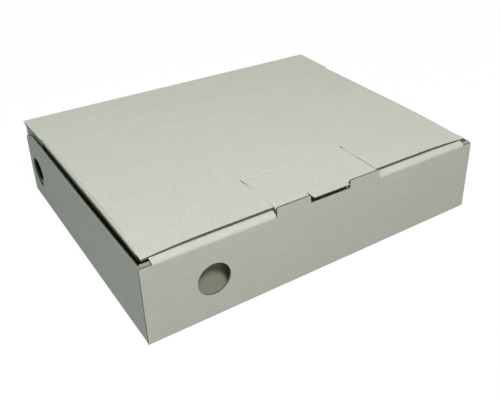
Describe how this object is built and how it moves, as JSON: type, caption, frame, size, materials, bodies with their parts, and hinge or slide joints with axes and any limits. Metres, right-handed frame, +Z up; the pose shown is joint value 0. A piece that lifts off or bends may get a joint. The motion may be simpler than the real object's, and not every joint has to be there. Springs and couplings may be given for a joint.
{
  "type": "archive box",
  "caption": "Flat archive box folded from one sheet of grey corrugated board, with a rolled front wall, finger holes and a hinged lid that closes with a lock tab.",
  "frame": {"origin": "centre of the base panel's underside", "axes": "+X along the front wall to the right as seen from the front, -Y out of the front wall, +Z up"},
  "size_m": [0.33, 0.2731, 0.0768],
  "materials": {
    "board": "matte grey recycled board"
  },
  "bodies": {
    "tray": {"tray": "board"},
    "lid": {"lid": "board"},
    "lock_tab": {"lock_tab": "board"}
  },
  "joints": [
    {"name": "lid_hinge", "type": "hinge", "parent": "tray", "child": "lid", "pos_m": [0, 0.135, 0.07425], "axis": [-1, 0, 0], "range_deg": [0, 180]},
    {"name": "tab_fold", "type": "hinge", "parent": "lid", "child": "lock_tab", "pos_m": [0, -0.083, 0.076], "axis": [-1, 0, 0], "range_deg": [0, 90]}
  ]
}
